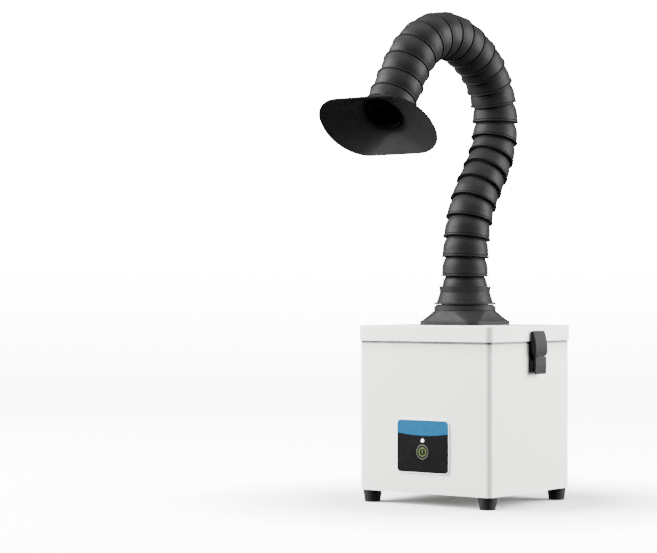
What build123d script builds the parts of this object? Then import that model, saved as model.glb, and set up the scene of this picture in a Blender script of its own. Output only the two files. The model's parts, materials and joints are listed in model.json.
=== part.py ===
from build123d import *
import os
from math import sin, cos, radians, sqrt

# Solder fume extractor: a steel cabinet with filters and a blower, a lift-off lid held by two
# side latches, and a self-holding arm of ball-jointed bells that ends in a rectangular hood.
# Millimetres. Origin: the middle of the cabinet, on the surface that it stands on.
# +Z up, front panel towards -Y, right-hand latch towards +X. The arm bends in the YZ plane.

# ---------------------------------------------------------------- driving dimensions
LID_WIDTH = 205.0            # X, over the lid
LID_DEPTH = 188.0            # Y, over the lid
LID_TOP = 225.0              # Z, floor to lid top
FOOT_HEIGHT = 15.7
SHEET = 1.5                  # wall of cabinet and lid
LID_OVERHANG = 1.8           # lid face proud of the cabinet wall, each side
LID_SKIRT = 19.5
LID_EDGE = 1.2               # rounding of the lid's top edge
LID_CORNER = 8.8
SLIP = 0.3                   # gap between separate moving pieces
FIT = 0.05                   # radial clearance of a running fit
GASKET_THICKNESS = 3.0
GASKET_WIDTH = 8.0

FOOT_TOP_RADIUS = 12.3
FOOT_BOTTOM_RADIUS = 9.8
FOOT_INSET = 12.5            # foot centre from the cabinet wall
FOOT_BOLT = 2.0
FOOT_RECESS = 5.0

FLANGE_SIDE = 91.0
FLANGE_CORNER = 15.0
FLANGE_RIM = 5.5
FLANGE_TOP = 19.4            # where the slope meets the round collar
COLLAR_RADIUS = 39.7
NECK_RADIUS = 37.5
DUCT_BORE = 31.0             # hole through lid and flange
FLANGE_EDGE = 1.0
FLANGE_SCREW = 1.6
FLANGE_SCREW_HEAD = 3.0
FLANGE_SCREW_REACH = 35.5
COLLAR_RING = 26.5           # heights above the lid
COLLAR_RING_TOP = 29.0
COLLAR_CONE_TOP = 41.4
COLLAR_BAND_TOP = 49.8
SPIGOT_WALL = 3.0
SPIGOT_DROP = 9.0
RETAINER_RADIUS = 36.0
RETAINER_HEIGHT = 4.0

BELL_PITCH = 24.4            # from one ball centre to the next
DOME_RADIUS = 29.3
DOME_CENTRE = 9.0            # above the bell's lip plane
DOME_WALL = 2.2
DOME_MOUTH = 20.0            # radius of the hole at the dome's top
LIP_RADIUS = 30.8
SEAT_GAP = 0.3               # between a dome and the seat that rides on it
SEAT_HEIGHT = 3.0
FIRST_BALL = 47.0            # first ball centre above the lid
# Lean of each bell from upright, degrees, backwards positive; the last one is the hood.
LEANS = [0.5, 3, 9, 16.5, 26.5, 35, 37, 29.5, 15, 0.5, -14, -28.5, -42.5, -56.5, -65.5, -75,
         -89.5, -104, -118.5, -132.5, -142.5, -147, -145.5, -137.5]

MOUTH_WIDTH = 164.0
MOUTH_HEIGHT = 97.0
MOUTH_CORNER = 46.0
HOOD_LENGTH = 26.0
HOOD_NECK = 4.6              # height of the round neck above its lip
HOOD_WALL = 2.0
RIM_TAPER = 0.75             # how far the wall thins towards the mouth

PANEL_X = 0.0
PANEL_Z = 74.5
PANEL_WIDTH = 78.0
PANEL_HEIGHT = 65.0
PANEL_CORNER = 5.0
PANEL_BORDER = 1.4
PANEL_THICKNESS = 1.2
BUTTON_Z = 67.6
BUTTON_RADIUS = 9.5
BUTTON_TRAVEL = 1.2
LED_Z = 82.0
LED_RADIUS = 2.2
BUTTON_FLANGE = 11.0
PLUNGER_RADIUS = 2.5
PLUNGER_LENGTH = 7.0         # from the cabinet's front face
BOARD_SETBACK = 11.0
BOARD_THICKNESS = 1.6
BOARD_HALF_WIDTH = 35.0
BOARD_HALF_HEIGHT = 28.0
BOARD_HOLE = 1.6
SWITCH_HALF = 3.0

LATCH_Y = 8.0
LATCH_WIDTH = 26.5
HASP_TOP = 218.5
HASP_BOTTOM = 189.0
HASP_DEPTH = 10.9            # from the cabinet wall
HASP_HOOK = 3.1              # inner edge of the hook, from the cabinet wall
HOOK_BOTTOM = 215.9
LEVER_BOTTOM = 164.0
HASP_PIVOT = (3.6, 193.0)    # from the cabinet wall; height
LEVER_PIVOT = (8.0, 188.0)
PIN_RADIUS = 1.0
KNUCKLE_RADIUS = 2.0
LEVER_PIN = 0.8
LEVER_BARREL = 1.7
CHEEK = 1.4
LUG_IN = 5.0                 # inner and outer faces of the hinge lugs from the latch's middle
LUG_OUT = 8.0
CATCH_HALF = 9.0

SHELF_Z = 118.0
HEPA_HEIGHT = 50.0
CARBON_HEIGHT = 25.0
PREFILTER_HEIGHT = 10.0
FILTER_WIDTH = 190.0
FILTER_DEPTH = 173.0
FILTER_EDGE = 6.0
FILTER_GROOVE = 2.0
HEPA_RIBS = 24
CARBON_RIBS = 9
SHELF_FOLD = 8.0
SHELF_HOLE = 42.0
BRACKET_HALF = 60.0
BRACKET_WIDTH = 14.0
BRACKET_HEIGHT = 16.0

BLOWER_Y = 4.0
BLOWER_BOTTOM = 58.0
BLOWER_HEIGHT = 50.0
SCROLL_STEP = 7.0            # growth of the scroll's radius per quarter turn
SCROLL_START = 50.0
SCROLL_WALL = 2.0
INLET_RADIUS = 38.0
IMPELLER_RADIUS = 46.0
BLADE_COUNT = 32
BLADE_LENGTH = 10.0
SHAFT_RADIUS = 3.0
MOTOR_RADIUS = 19.0
MOTOR_HEIGHT = 32.0
MOTOR_SCREW_CIRCLE = 13.0
HUB_RADIUS = 10.0
HUB_HEIGHT = 18.0
BLADE_THICKNESS = 1.2
BLADE_ANGLE = 25.0
M3_RADIUS = 1.5
M3_HEAD = 2.8

GRILLE_WIDTH = 58.0
GRILLE_HEIGHT = 64.0
GRILLE_X = -64.0
GRILLE_Z = 84.0
GRILLE_EDGE = 6.0
GRILLE_SLOTS = 5
GRILLE_SLOT = 6.0
GRILLE_BAR = 3.5
SOCKET_X = 70.0
SOCKET_Z = 42.0
SOCKET_WIDTH = 24.0
SOCKET_HEIGHT = 16.0
SOCKET_WALL = 1.8
SOCKET_DEPTH = 20.0
PSU_X = (32.0, 78.0)
PSU_Y = (-70.0, 50.0)
STANDOFF_HEIGHT = 8.0
STANDOFF_RADIUS = 3.0

# ---------------------------------------------------------------- derived dimensions
BODY_WIDTH = LID_WIDTH - 2 * LID_OVERHANG
BODY_DEPTH = LID_DEPTH - 2 * LID_OVERHANG
BODY_CORNER = LID_CORNER - LID_OVERHANG
BODY_TOP = LID_TOP - SHEET - GASKET_THICKNESS
SIDE = BODY_WIDTH / 2
FRONT = -BODY_DEPTH / 2
REAR = BODY_DEPTH / 2
FLOOR = FOOT_HEIGHT + SHEET
FILTER_BASE = SHELF_Z + SHEET
LIP_DROP = BELL_PITCH - DOME_CENTRE      # from a bell's lip plane down to the ball under it
BLOWER_TOP = BLOWER_BOTTOM + BLOWER_HEIGHT
SKIRT_BOTTOM = LID_TOP - LID_SKIRT
PLUNGER_END = FRONT + PLUNGER_LENGTH
BOARD_FRONT = FRONT + BOARD_SETBACK
LATCH_HALF = LATCH_WIDTH / 2
IMPELLER_BOTTOM = BLOWER_BOTTOM + 6.0
IMPELLER_TOP = BLOWER_TOP - 4.0
MOTOR_BOTTOM = BLOWER_BOTTOM - MOTOR_HEIGHT
PSU_Z = FLOOR + STANDOFF_HEIGHT

os.makedirs("parts", exist_ok=True)


def save(node, *solids):
    """Write one node; several separate solids go in as a group."""
    shape = solids[0] if len(solids) == 1 else Compound(children=list(solids))
    export_step(shape, f"parts/{node}.step")


def block(x, y, z):
    """A box from three (low, high) pairs."""
    size = [b - a for a, b in (x, y, z)]
    centre = [(a + b) / 2 for a, b in (x, y, z)]
    return Pos(*centre) * Box(*size)


def rod(radius, low, high, x=0.0, y=0.0):
    """An upright cylinder."""
    return Pos(x, y, (low + high) / 2) * Cylinder(radius, high - low)


def rod_y(radius, low, high, x, z):
    """A cylinder along Y."""
    return Pos(x, (low + high) / 2, z) * Rot(90, 0, 0) * Cylinder(radius, high - low)


def slab(width, depth, corner, low, high, x=0.0, y=0.0):
    """An upright prism with rounded corners."""
    outline = Plane.XY.offset(low) * Pos(x, y) * RectangleRounded(width, depth, corner)
    return extrude(outline, amount=high - low, dir=(0, 0, 1))


def front_slab(width, height, corner, x, z, y_low, y_high):
    """A rounded plate that faces the front."""
    outline = Plane(origin=(x, y_high, z), x_dir=(1, 0, 0), z_dir=(0, -1, 0))
    sketch = outline * RectangleRounded(width, height, corner)
    return extrude(sketch, amount=y_high - y_low)


def arc_on(radius, centre, start, end):
    """Arc in the XZ half plane on a circle about (0, centre), between two heights."""
    middle = (start + end) / 2
    return [(sqrt(radius**2 - (z - centre) ** 2), z) for z in (start, middle, end)]


def turned(edges):
    """Revolve a closed outline of points and three-point arcs about Z."""
    with BuildPart() as body:
        with BuildSketch(Plane.XZ):
            with BuildLine():
                for a, b in zip(edges, edges[1:] + edges[:1]):
                    if len(a) == 3:
                        ThreePointArc(*a)
                    end = a[-1]
                    begin = b[0]
                    if (Vector(*end) - Vector(*begin)).length > 1e-6:
                        Line(end, begin)
            make_face()
        revolve(axis=Axis.Z)
    return body.part


def both_sides(shape):
    """The right-hand piece and its mirror image on the left."""
    return shape, mirror(shape, about=Plane.YZ)


# ---------------------------------------------------------------- cabinet
def cabinet_shell():
    outer = slab(BODY_WIDTH, BODY_DEPTH, BODY_CORNER, FOOT_HEIGHT, BODY_TOP)
    inner_corner = BODY_CORNER - SHEET
    inner = slab(BODY_WIDTH - 2 * SHEET, BODY_DEPTH - 2 * SHEET, inner_corner, FLOOR, BODY_TOP + 1)
    shell = outer - inner
    shell -= rod_y(BUTTON_RADIUS + SLIP, FRONT - 1, FRONT + SHEET + 1, PANEL_X, BUTTON_Z)
    shell -= rod_y(LED_RADIUS + SLIP, FRONT - 1, FRONT + SHEET + 1, PANEL_X, LED_Z)
    shell -= block(
        (GRILLE_X - GRILLE_WIDTH / 2 + GRILLE_EDGE, GRILLE_X + GRILLE_WIDTH / 2 - GRILLE_EDGE),
        (REAR - SHEET - 1, REAR + 1),
        (GRILLE_Z - GRILLE_HEIGHT / 2 + GRILLE_EDGE, GRILLE_Z + GRILLE_HEIGHT / 2 - GRILLE_EDGE),
    )
    shell -= block(
        (SOCKET_X - SOCKET_WIDTH / 2 - 2, SOCKET_X + SOCKET_WIDTH / 2 + 2),
        (REAR - SHEET - 1, REAR + 1),
        (SOCKET_Z - SOCKET_HEIGHT / 2 - 2, SOCKET_Z + SOCKET_HEIGHT / 2 + 2),
    )
    for x, y in foot_places():
        shell -= rod(FOOT_BOLT, FOOT_HEIGHT - 1, FLOOR + 1, x, y)
    for x, z in grille_holes():
        shell -= rod_y(M3_RADIUS, REAR - SHEET - 1, REAR + 1, x, z)
    return shell


def foot_places():
    x, y = SIDE - FOOT_INSET, REAR - FOOT_INSET
    return [(-x, -y), (x, -y), (x, y), (-x, y)]


def foot(x, y):
    """Tapered rubber foot with a recess for its screw head."""
    cone = Cone(FOOT_BOTTOM_RADIUS, FOOT_TOP_RADIUS, FOOT_HEIGHT)
    body = Pos(x, y, FOOT_HEIGHT / 2) * cone
    body -= rod(FOOT_RECESS, -1, FOOT_HEIGHT / 2, x, y)
    return body - rod(FOOT_BOLT, 0, FOOT_HEIGHT + 1, x, y)


def foot_screw(x, y):
    head = rod(FOOT_RECESS - 1, FOOT_HEIGHT / 2 - 3, FOOT_HEIGHT / 2, x, y)
    return head + rod(FOOT_BOLT, FOOT_HEIGHT / 2 - 1, FLOOR + 6, x, y)


# ---------------------------------------------------------------- lid
def lid_cap():
    outer = slab(LID_WIDTH, LID_DEPTH, LID_CORNER, SKIRT_BOTTOM, LID_TOP)
    inset = 2 * SHEET
    hollow = slab(LID_WIDTH - inset, LID_DEPTH - inset, LID_CORNER - SHEET,
                  SKIRT_BOTTOM - 1, LID_TOP - SHEET)
    lid = fillet(outer.faces().sort_by(Axis.Z)[-1].edges(), LID_EDGE) - hollow
    lid -= rod(DUCT_BORE, LID_TOP - SHEET - 1, LID_TOP + 1)
    for x, y in flange_screw_places():
        lid -= rod(FLANGE_SCREW, LID_TOP - SHEET - 1, LID_TOP + 1, x, y)
    return lid


def lid_gasket():
    low = BODY_TOP
    width = BODY_WIDTH
    depth = BODY_DEPTH
    ring = slab(width, depth, BODY_CORNER, low, low + GASKET_THICKNESS)
    return ring - slab(width - 2 * GASKET_WIDTH, depth - 2 * GASKET_WIDTH, 3.0,
                       low - 1, low + GASKET_THICKNESS + 1)


# ---------------------------------------------------------------- arm base
def flange_screw_places():
    r = FLANGE_SCREW_REACH
    return [(-r, -r), (r, -r), (r, r), (-r, r)]


def arm_flange():
    """Square-to-round flange that carries the arm on the lid."""
    rim = slab(FLANGE_SIDE, FLANGE_SIDE, FLANGE_CORNER, LID_TOP, LID_TOP + FLANGE_RIM)
    rim = fillet(rim.faces().sort_by(Axis.Z)[-1].edges(), FLANGE_EDGE)
    round_side = 2 * (COLLAR_RADIUS - 1.2)
    waist = (FLANGE_SIDE + round_side) / 2 - 2.0
    low = Plane.XY.offset(LID_TOP + FLANGE_RIM)
    sections = [
        low * RectangleRounded(FLANGE_SIDE - 2.4, FLANGE_SIDE - 2.4, FLANGE_CORNER),
        low.offset(6) * RectangleRounded(waist, waist, 24),
        low.offset(FLANGE_TOP - FLANGE_RIM)
        * RectangleRounded(round_side, round_side, round_side / 2 - 0.2),
    ]
    slope = loft(sections)
    collar = rod(COLLAR_RADIUS, LID_TOP + FLANGE_TOP - 0.5, LID_TOP + FLANGE_TOP + 5.0)
    neck = rod(NECK_RADIUS, LID_TOP + FLANGE_TOP + 5.0, LID_TOP + FLANGE_TOP + 6.8)
    body = rim + slope + collar + neck
    body -= rod(DUCT_BORE, LID_TOP - 1, LID_TOP + FLANGE_TOP + 10)
    for x, y in flange_screw_places():
        body -= rod(FLANGE_SCREW, LID_TOP - 1, LID_TOP + FLANGE_RIM - 1, x, y)
    return body


def flange_screw(x, y):
    """Screw that comes up through the lid into the flange."""
    head = rod(FLANGE_SCREW_HEAD, LID_TOP - SHEET - 2.2, LID_TOP - SHEET, x, y)
    return head + rod(FLANGE_SCREW, LID_TOP - SHEET - 1, LID_TOP + FLANGE_RIM - 1.5, x, y)


def dome_top():
    """Height of the dome's mouth above the ball centre, outside and inside."""
    inner = DOME_RADIUS - DOME_WALL
    return (sqrt(DOME_RADIUS**2 - DOME_MOUTH**2), sqrt(inner**2 - DOME_MOUTH**2))


def swivel_collar():
    """Turning collar: spigot in the flange, ring, cone, band and the first ball dome."""
    base = LID_TOP
    ball = base + FIRST_BALL
    outer_top, inner_top = dome_top()
    inner = DOME_RADIUS - DOME_WALL
    spigot = DUCT_BORE - FIT
    bore = spigot - SPIGOT_WALL
    outline = [
        [(bore, base - SPIGOT_DROP)],
        [(spigot, base - SPIGOT_DROP)],
        [(spigot, base + COLLAR_RING)],
        [(COLLAR_RADIUS, base + COLLAR_RING)],
        [(COLLAR_RADIUS, base + COLLAR_RING_TOP)],
        [(36.0, base + COLLAR_RING_TOP)],
        [(32.25, base + COLLAR_CONE_TOP)],
        [(33.25, base + COLLAR_BAND_TOP)],
        [(29.6, base + COLLAR_BAND_TOP)],
        arc_on(DOME_RADIUS, ball, base + COLLAR_BAND_TOP, ball + outer_top),
        arc_on(inner, ball, ball + inner_top, ball),
        [(inner, base + COLLAR_RING_TOP)],
        [(bore, base + COLLAR_RING)],
    ]
    return turned(outline)


def swivel_retainer():
    """Ring under the lid that keeps the collar from lifting out."""
    top = LID_TOP - SHEET - SLIP
    ring = rod(RETAINER_RADIUS, top - RETAINER_HEIGHT, top)
    return ring - rod(DUCT_BORE - FIT, top - RETAINER_HEIGHT - 1, top + 1)


# ---------------------------------------------------------------- arm bells
def seat_edges():
    """Ring that rides on the ball below, as a list of outline edges."""
    return [
        arc_on(DOME_RADIUS + SEAT_GAP, -LIP_DROP, SEAT_HEIGHT, 0.0),
        [(LIP_RADIUS - 0.3, 0.0)],
        [(LIP_RADIUS, 0.4)],
        [(LIP_RADIUS, 1.5)],
        [(LIP_RADIUS - 1.8, 1.8)],
        [(LIP_RADIUS - 1.8, 2.7)],
        [(LIP_RADIUS - 1.1, 3.2)],
    ]


def bell():
    """One bell: lip and seat at the bottom, ball dome at the top, open right through."""
    outer_top, inner_top = dome_top()
    inner = DOME_RADIUS - DOME_WALL
    outline = seat_edges() + [
        arc_on(DOME_RADIUS, DOME_CENTRE, DOME_CENTRE, DOME_CENTRE + outer_top),
        arc_on(inner, DOME_CENTRE, DOME_CENTRE + inner_top, DOME_CENTRE),
        [(inner, SEAT_HEIGHT)],
    ]
    return turned(outline)


def ball_places():
    """Centre of the ball under each bell, with the bell's lean."""
    y, z = 0.0, LID_TOP + FIRST_BALL
    places = []
    for lean in LEANS:
        places.append((y, z, lean))
        y += BELL_PITCH * sin(radians(lean))
        z += BELL_PITCH * cos(radians(lean))
    return places


def place_on_ball(shape, place):
    """Put a shape made from its lip plane on the ball below it."""
    y, z, lean = place
    return Pos(0, y, z) * Rot(-lean, 0, 0) * Pos(0, 0, LIP_DROP) * shape


# ---------------------------------------------------------------- hood
def hood_flare(inset, lift):
    """Flare from the round neck to the rectangular mouth, drawn in by inset and pushed forward."""
    neck = DOME_RADIUS - 1.0
    stations = [
        (0.0, 2 * neck, 2 * neck, neck - 0.2),
        (0.5, 108.0, 76.0, 36.5),
        (1.0, MOUTH_WIDTH, MOUTH_HEIGHT, MOUTH_CORNER),
    ]
    length = HOOD_LENGTH - HOOD_NECK
    sections = []
    for share, width, depth, corner in stations:
        push = lift * (1 - RIM_TAPER * share)
        plane = Plane.XY.offset(HOOD_NECK + share * length + push)
        outline = RectangleRounded(width - 2 * inset, depth - 2 * inset, corner - inset)
        sections.append(plane * outline)
    return loft(sections)


def suction_hood():
    """Hood with its own seat on the last ball, a round neck and a rectangular mouth."""
    inner = DOME_RADIUS - DOME_WALL - 1.0
    neck = DOME_RADIUS - 1.0
    outline = seat_edges() + [
        [(neck, SEAT_HEIGHT + 1.5)],
        [(neck, HOOD_NECK + 0.01)],
        [(inner, HOOD_NECK + 0.01)],
        [(inner, SEAT_HEIGHT)],
    ]
    flare = hood_flare(0.0, 0.0) - hood_flare(HOOD_WALL / 2, HOOD_WALL)
    flare -= rod(inner, HOOD_NECK - 1, HOOD_NECK + HOOD_WALL + 1)
    return turned(outline) + flare


# ---------------------------------------------------------------- front panel
def panel_bezel():
    back = FRONT
    front = FRONT - PANEL_THICKNESS
    outer = front_slab(PANEL_WIDTH + 2 * PANEL_BORDER, PANEL_HEIGHT + 2 * PANEL_BORDER,
                       PANEL_CORNER + PANEL_BORDER, PANEL_X, PANEL_Z, front, back)
    return outer - front_slab(PANEL_WIDTH, PANEL_HEIGHT, PANEL_CORNER,
                              PANEL_X, PANEL_Z, front - 1, back + 1)


def panel_overlay():
    front = FRONT - PANEL_THICKNESS + 0.2
    plate = front_slab(PANEL_WIDTH, PANEL_HEIGHT, PANEL_CORNER, PANEL_X, PANEL_Z, front, FRONT)
    plate -= rod_y(BUTTON_RADIUS + SLIP, FRONT - 5, FRONT + 5, PANEL_X, BUTTON_Z)
    return plate - rod_y(LED_RADIUS, FRONT - 5, FRONT + 5, PANEL_X, LED_Z)


def power_button():
    """Cap in the panel, a flange behind the wall and a plunger to the switch."""
    wall_back = FRONT + SHEET
    cap = rod_y(BUTTON_RADIUS, FRONT - PANEL_THICKNESS - 0.5, wall_back + 1, PANEL_X, BUTTON_Z)
    cap = fillet(cap.faces().sort_by(Axis.Y)[0].edges(), 0.4)
    cap += rod_y(BUTTON_FLANGE, wall_back + SLIP, wall_back + 1.5, PANEL_X, BUTTON_Z)
    return cap + rod_y(PLUNGER_RADIUS, wall_back, PLUNGER_END, PANEL_X, BUTTON_Z)


def led_lens():
    lens = rod_y(LED_RADIUS, FRONT - PANEL_THICKNESS - 0.4, FRONT + 3, PANEL_X, LED_Z)
    return lens + rod_y(LED_RADIUS + 0.8, FRONT + SHEET, FRONT + 3, PANEL_X, LED_Z)


def control_board():
    """Board with its switch, light emitter and a connector."""
    back = BOARD_FRONT + BOARD_THICKNESS
    board = block((PANEL_X - BOARD_HALF_WIDTH, PANEL_X + BOARD_HALF_WIDTH), (BOARD_FRONT, back),
                  (PANEL_Z - BOARD_HALF_HEIGHT, PANEL_Z + BOARD_HALF_HEIGHT))
    switch_face = PLUNGER_END + BUTTON_TRAVEL + SLIP
    board += block((PANEL_X - SWITCH_HALF, PANEL_X + SWITCH_HALF), (BOARD_FRONT - 2, BOARD_FRONT + 0.1),
                   (BUTTON_Z - SWITCH_HALF, BUTTON_Z + SWITCH_HALF))
    board += rod_y(1.7, switch_face, BOARD_FRONT, PANEL_X, BUTTON_Z)
    board += rod_y(1.5, FRONT + 3, BOARD_FRONT, PANEL_X, LED_Z)
    board += block((PANEL_X + 12, PANEL_X + 24), (back - 0.1, back + 1.6), (60, 72))
    board += block((PANEL_X - 28, PANEL_X - 14), (back - 0.1, back + 8), (88, 94))
    for x, z in board_holes():
        board -= rod_y(BOARD_HOLE, BOARD_FRONT - 1, back + 1, x, z)
    return board


def board_holes():
    dx, dz = BOARD_HALF_WIDTH - 4, BOARD_HALF_HEIGHT - 4
    return [(PANEL_X + sx * dx, PANEL_Z + sz * dz) for sx in (-1, 1) for sz in (-1, 1)]


# ---------------------------------------------------------------- latches
def wedge(points, y_low, y_high):
    """Prism along Y from an outline of (distance from the cabinet wall, height) points."""
    outline = [(SIDE + x, y_high, z) for x, z in points]
    face = make_face(Polyline(*outline, close=True))
    return extrude(face, amount=y_high - y_low, dir=(0, -1, 0))


def latch_base():
    """Plate on the cabinet wall with cheeks and the two lugs that hold the hasp's pin."""
    low, high = LATCH_Y - LATCH_HALF, LATCH_Y + LATCH_HALF
    plate = wedge([(0, 167), (1.6, 167), (1.6, 203.5), (0, 203.5)], low, high)
    cheek = [(1.0, 168), (5.4, 169.5), (6.2, 172), (6.2, 181), (1.0, 184)]
    plate += wedge(cheek, low, low + CHEEK)
    plate += wedge(cheek, high - CHEEK, high)
    x, z = HASP_PIVOT
    for side in (-1, 1):
        edges = sorted((LATCH_Y + side * LUG_IN, LATCH_Y + side * LUG_OUT))
        plate += wedge([(1.0, z - KNUCKLE_RADIUS), (x, z - KNUCKLE_RADIUS),
                        (x, z + KNUCKLE_RADIUS), (1.0, z + KNUCKLE_RADIUS)], *edges)
        plate += rod_y(KNUCKLE_RADIUS, *edges, SIDE + x, z)
    plate += rod_y(PIN_RADIUS, LATCH_Y - LUG_OUT, LATCH_Y + LUG_OUT, SIDE + x, z)
    return plate


def latch_hasp():
    """Curved cover that hooks over the lid's catch, hung on the base's pin."""
    low, high = LATCH_Y - LATCH_HALF, LATCH_Y + LATCH_HALF
    top = (6.0, HASP_TOP)
    crown = (HASP_DEPTH, HASP_BOTTOM + 9)
    foot_point = (HASP_DEPTH - 0.5, HASP_BOTTOM)
    back_bottom = (HASP_DEPTH - 2.4, HASP_BOTTOM)
    back_crown = (HASP_DEPTH - 2.0, HASP_BOTTOM + 9)
    back_top = (5.6, HASP_TOP - 2.2)

    def at(point):
        return (SIDE + point[0], high, point[1])

    lines = [
        Line(at((HASP_HOOK, HASP_TOP - 1.2)), at(top)),
        Spline(at(top), at((9.4, HASP_TOP - 10)), at(crown), at(foot_point)),
        Line(at(foot_point), at(back_bottom)),
        Spline(at(back_bottom), at(back_crown), at((7.4, HASP_TOP - 10)), at(back_top)),
        Line(at(back_top), at((HASP_HOOK, HOOK_BOTTOM))),
        Line(at((HASP_HOOK, HOOK_BOTTOM)), at((HASP_HOOK, HASP_TOP - 1.2))),
    ]
    cover = extrude(make_face(lines), amount=LATCH_WIDTH, dir=(0, -1, 0))
    cheek = [(HASP_HOOK, HASP_TOP - 1.4), (6.0, HASP_TOP - 0.6), (8.6, HASP_TOP - 9),
             (9.9, HASP_BOTTOM + 8), (9.6, HASP_BOTTOM + 0.6), (4.6, HASP_BOTTOM + 0.6),
             (HASP_HOOK, HASP_BOTTOM + 15)]
    cover += wedge(cheek, low, low + CHEEK)
    cover += wedge(cheek, high - CHEEK, high)
    x, z = HASP_PIVOT
    half = LUG_IN - SLIP
    cover += wedge([(x, z - KNUCKLE_RADIUS), (HASP_DEPTH - 1, z - KNUCKLE_RADIUS),
                    (HASP_DEPTH - 1, z + KNUCKLE_RADIUS), (x, z + KNUCKLE_RADIUS)],
                   LATCH_Y - half, LATCH_Y + half)
    cover += rod_y(KNUCKLE_RADIUS, LATCH_Y - half, LATCH_Y + half, SIDE + x, z)
    cover -= rod_y(PIN_RADIUS + FIT, LATCH_Y - half - 1, LATCH_Y + half + 1, SIDE + x, z)
    bx, bz = LEVER_PIVOT
    cover -= rod_y(LEVER_BARREL + SLIP, LATCH_Y - LUG_OUT - SLIP, LATCH_Y + LUG_OUT + SLIP,
                   SIDE + bx, bz)
    for side in (-1, 1):
        edges = sorted((LATCH_Y + side * (LUG_OUT + SLIP), LATCH_Y + side * (LATCH_HALF - 0.5)))
        cover += wedge([(bx - 1.5, bz), (bx + 1.5, bz), (bx + 1.5, bz + 3), (bx - 1.5, bz + 3)],
                       *edges)
        cover += rod_y(1.5, *edges, SIDE + bx, bz)
    cover += rod_y(LEVER_PIN, LATCH_Y - LATCH_HALF + 1, LATCH_Y + LATCH_HALF - 1, SIDE + bx, bz)
    return cover


def latch_lever():
    """Tongue below the hasp, hung on the hasp's lower pin."""
    bx, bz = LEVER_PIVOT
    half = LATCH_HALF - 1.0
    face = [(7.4, bz - 2.2), (9.7, bz - 2.2), (9.9, 174), (9.4, LEVER_BOTTOM + 1.2),
            (8.4, LEVER_BOTTOM), (7.6, LEVER_BOTTOM + 0.6), (7.4, 172)]
    body = wedge(face, LATCH_Y - half, LATCH_Y + half)
    knuckle = LUG_OUT
    body += wedge([(bx - 1.2, bz - 3), (bx + 1.5, bz - 3), (bx + 1.5, bz), (bx - 1.2, bz)],
                  LATCH_Y - knuckle, LATCH_Y + knuckle)
    body += rod_y(LEVER_BARREL, LATCH_Y - knuckle, LATCH_Y + knuckle, SIDE + bx, bz)
    return body - rod_y(LEVER_PIN + FIT, LATCH_Y - LATCH_WIDTH, LATCH_Y + LATCH_WIDTH, SIDE + bx, bz)


def latch_catch():
    """Sloped catch on the lid skirt that the hasp's top edge pulls down."""
    face = LID_OVERHANG
    outline = [(face, 207.5), (face + 1.5, 207.5), (face + 3.4, 211.2), (face + 3.4, 211.8),
               (face + 1.4, 214.8), (face, 214.8)]
    return wedge(outline, LATCH_Y - CATCH_HALF, LATCH_Y + CATCH_HALF)


# ---------------------------------------------------------------- filters
def filter_shelf():
    """Shelf under the filters with turned-down edges and a round air hole."""
    width = BODY_WIDTH - 2 * SHEET - 0.4
    depth = BODY_DEPTH - 2 * SHEET - 0.4
    corner = BODY_CORNER - SHEET
    tray = slab(width, depth, corner, SHELF_Z - SHELF_FOLD, SHELF_Z + SHEET)
    tray -= slab(width - 2 * SHEET, depth - 2 * SHEET, corner - 1, SHELF_Z - SHELF_FOLD - 1, SHELF_Z)
    return tray - rod(SHELF_HOLE, SHELF_Z - 1, SHELF_Z + SHEET + 1, 0, BLOWER_Y)


def shelf_bracket(side):
    """Angle welded to a side wall under the shelf."""
    wall = side * (SIDE - SHEET)
    top = SHELF_Z - SHELF_FOLD
    length = (-BRACKET_HALF, BRACKET_HALF)
    flange = sorted((wall, wall - side * BRACKET_WIDTH))
    web = sorted((wall, wall - side * SHEET))
    return block(flange, length, (top - SHEET, top)) + block(web, length, (top - BRACKET_HEIGHT, top))


def framed_filter(low, height, ribs):
    """Rectangular filter: a frame with a block of medium between its ribs."""
    high = low + height
    frame = block((-FILTER_WIDTH / 2, FILTER_WIDTH / 2), (-FILTER_DEPTH / 2, FILTER_DEPTH / 2),
                  (low, high))
    pitch = (FILTER_WIDTH - 2 * FILTER_EDGE) / ribs
    for i in range(ribs):
        x = -FILTER_WIDTH / 2 + FILTER_EDGE + (i + 0.5) * pitch
        frame -= block((x - pitch * 0.32, x + pitch * 0.32),
                       (-FILTER_DEPTH / 2 + FILTER_EDGE, FILTER_DEPTH / 2 - FILTER_EDGE),
                       (high - FILTER_GROOVE, high + 1))
    return frame


def prefilter_pad():
    low = FILTER_BASE + HEPA_HEIGHT + CARBON_HEIGHT
    return slab(FILTER_WIDTH, FILTER_DEPTH, 3, low, low + PREFILTER_HEIGHT)


# ---------------------------------------------------------------- blower
def scroll_outline(grow):
    """Scroll of four quarter arcs, each one step wider, closed straight across its start."""
    centre = (0.0, 0.0)
    edges = []
    for i in range(4):
        radius = SCROLL_START + grow + i * SCROLL_STEP
        points = []
        for turn in (0, 45, 90):
            angle = radians(90 * i + turn)
            points.append((centre[0] + radius * cos(angle), centre[1] + radius * sin(angle)))
        edges.append(ThreePointArc(*points))
        after = radians(90 * (i + 1))
        centre = (centre[0] - SCROLL_STEP * cos(after), centre[1] - SCROLL_STEP * sin(after))
    edges.append(Line(edges[-1] @ 1, edges[0] @ 0))
    return make_face(edges)


def blower_space(grow, low, high):
    """Solid inside the scroll and its straight outlet to the rear wall, outlet on the left."""
    scroll = extrude(scroll_outline(grow), amount=high - low)
    outlet_in = SCROLL_START - grow
    outlet_out = SCROLL_START + 4 * SCROLL_STEP + grow
    outlet = block((outlet_in, outlet_out), (0, REAR - SHEET - BLOWER_Y), (0, high - low))
    return Pos(0, BLOWER_Y, low) * mirror(scroll + outlet, about=Plane.YZ)


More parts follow.
